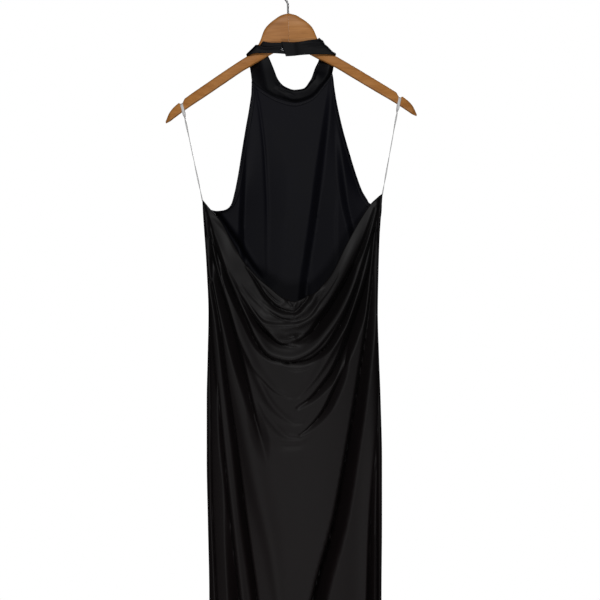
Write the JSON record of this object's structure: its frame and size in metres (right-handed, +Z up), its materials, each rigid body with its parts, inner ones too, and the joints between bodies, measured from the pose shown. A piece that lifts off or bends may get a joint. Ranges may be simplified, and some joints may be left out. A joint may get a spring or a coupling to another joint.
{
  "type": "halter maxi dress on a hanger",
  "caption": "Halter-neck maxi dress with a low cowl back, hanging from a contoured wooden hanger by its neck band and hanger loops.",
  "frame": {"origin": "inside top of the hanger's hook, where a rail carries it", "axes": "+Z up along the dress, +X to the right as the back of the dress is seen, -Y out of the back of the dress"},
  "size_m": [0.445, 0.0884, 1.5839],
  "materials": {
    "jersey": "black slinky jersey, soft sheen",
    "wood": "clear satin varnish",
    "wire": "bright plated",
    "tape": "white satin tape"
  },
  "bodies": {
    "root": {"back": "jersey", "front": "jersey", "neck_band": "jersey", "neck_hook": "wire", "neck_eye": "wire", "hanger_loop_left": "tape", "hanger_loop_right": "tape", "hanger_wood": "wood", "hanger_hook": "wire"}
  },
  "joints": []
}
